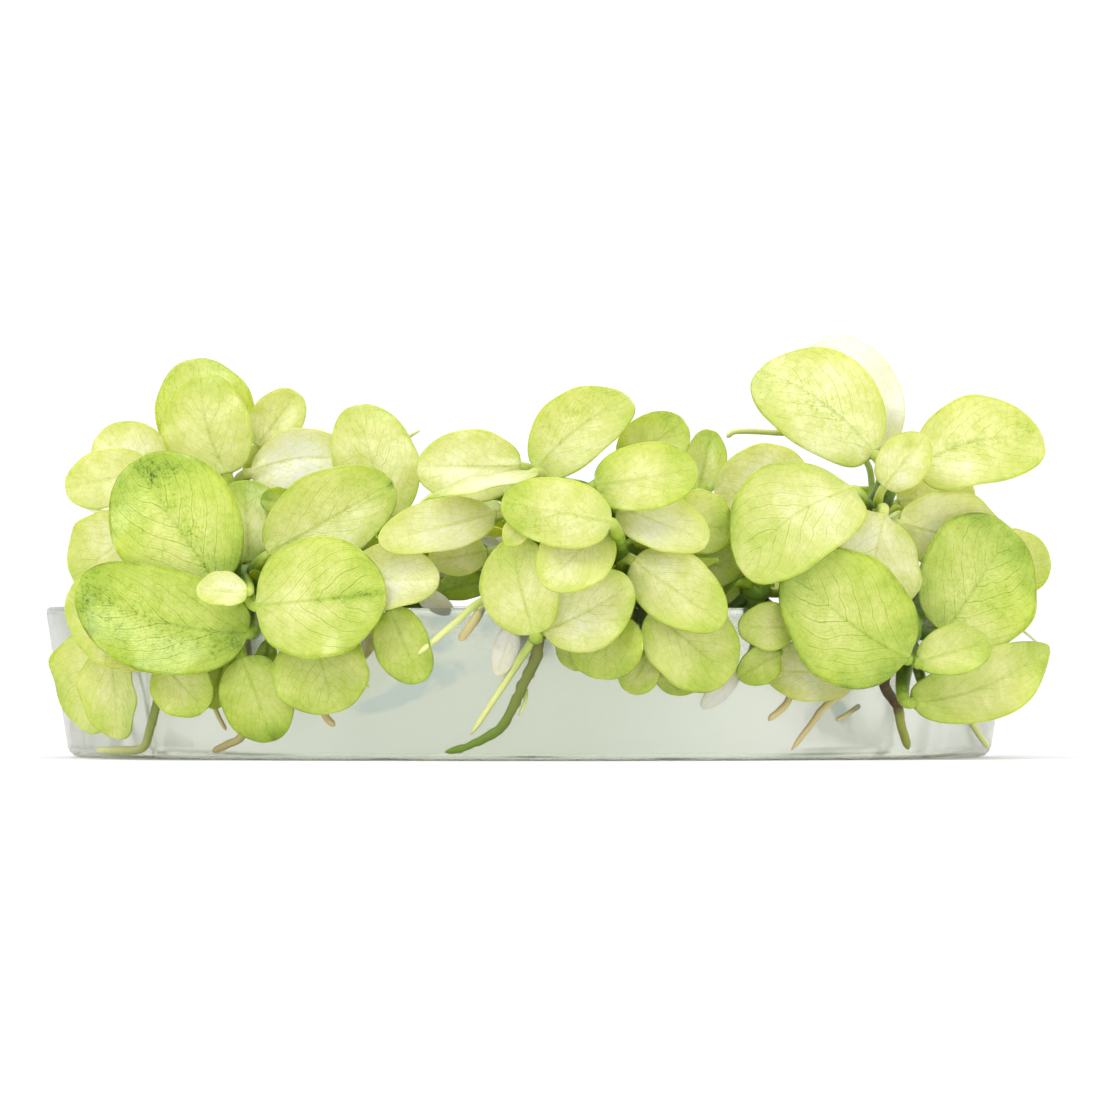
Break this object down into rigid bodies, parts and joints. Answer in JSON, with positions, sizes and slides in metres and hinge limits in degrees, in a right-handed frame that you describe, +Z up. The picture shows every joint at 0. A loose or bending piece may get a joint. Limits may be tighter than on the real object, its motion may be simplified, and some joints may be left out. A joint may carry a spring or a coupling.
{
  "type": "anubias plant",
  "caption": "White-leaved dwarf anubias plantlets with rounded leaves and short rhizomes, rooted in a clear round puck of culture gel.",
  "frame": {"origin": "middle of the gel's flat underside", "axes": "+Z up, out of the gel; -Y towards the side that is seen first; +X to that side's right"},
  "size_m": [0.1011, 0.1043, 0.0422],
  "materials": {
    "gel": "clear wet culture gel, slightly grey-green",
    "pale_leaf": "smooth soft leaf, cream to lime",
    "lime_leaf": "smooth soft leaf, lime with green speckles",
    "rhizome": "smooth green rhizome and roots"
  },
  "bodies": {
    "root": {"gel": "gel", "leaf_left_front_hanging": "pale_leaf", "leaf_left_front_oval": "pale_leaf", "leaf_left_front_round": "pale_leaf", "leaf_left_front_speckled": "lime_leaf", "leaf_left_front_speckled_low": "pale_leaf", "leaf_left_inner_low": "pale_leaf", "leaf_left_inner_middle": "pale_leaf", "leaf_left_inner_pointed": "pale_leaf", "leaf_left_inner_tall": "pale_leaf", "leaf_left_side_high": "pale_leaf", "leaf_left_side_over_rim": "pale_leaf", "leaf_left_side_under_rim": "pale_leaf", "leaf_left_top_left_down": "pale_leaf", "leaf_left_top_right": "pale_leaf", "leaf_left_top_upright": "pale_leaf", "leaf_left_top_upright_back": "pale_leaf", "leaf_middle_front_front": "lime_leaf", "leaf_middle_front_green": "lime_leaf", "leaf_middle_front_pale": "pale_leaf", "leaf_middle_front_top_right": "pale_leaf", "leaf_middle_front_under_front": "lime_leaf", "leaf_middle_low_left": "pale_leaf", "leaf_middle_low_right": "pale_leaf", "leaf_middle_right_left": "pale_leaf", "leaf_middle_right_right": "pale_leaf", "leaf_middle_top_big": "pale_leaf", "leaf_middle_top_cream": "pale_leaf", "leaf_middle_top_edge_on": "pale_leaf", "leaf_middle_top_left": "pale_leaf", "leaf_right_low_long": "pale_leaf", "leaf_right_low_right_green": "lime_leaf", "leaf_right_low_round_low": "lime_leaf", "leaf_right_low_under_round": "pale_leaf", "leaf_right_low_yellow": "pale_leaf", "leaf_right_top_down": "pale_leaf", "leaf_right_top_left_back": "pale_leaf", "leaf_right_top_left_front": "pale_leaf", "leaf_right_top_right": "pale_leaf", "leaf_right_top_right_down": "pale_leaf", "leaf_right_top_speckled": "lime_leaf", "leaf_right_top_white": "pale_leaf", "rhizome_back_left": "rhizome", "rhizome_back_right": "rhizome", "rhizome_back_side_left": "rhizome", "rhizome_back_side_right": "rhizome", "rhizome_centre": "rhizome", "rhizome_centre_left": "rhizome", "rhizome_centre_right": "rhizome", "rhizome_left_front": "rhizome", "rhizome_left_inner": "rhizome", "rhizome_left_side": "rhizome", "rhizome_left_top": "rhizome", "rhizome_middle_front": "rhizome", "rhizome_middle_low": "rhizome", "rhizome_middle_right": "rhizome", "rhizome_middle_top": "rhizome", "rhizome_right_inner": "rhizome", "rhizome_right_low": "rhizome", "rhizome_right_top": "rhizome"}
  },
  "joints": []
}
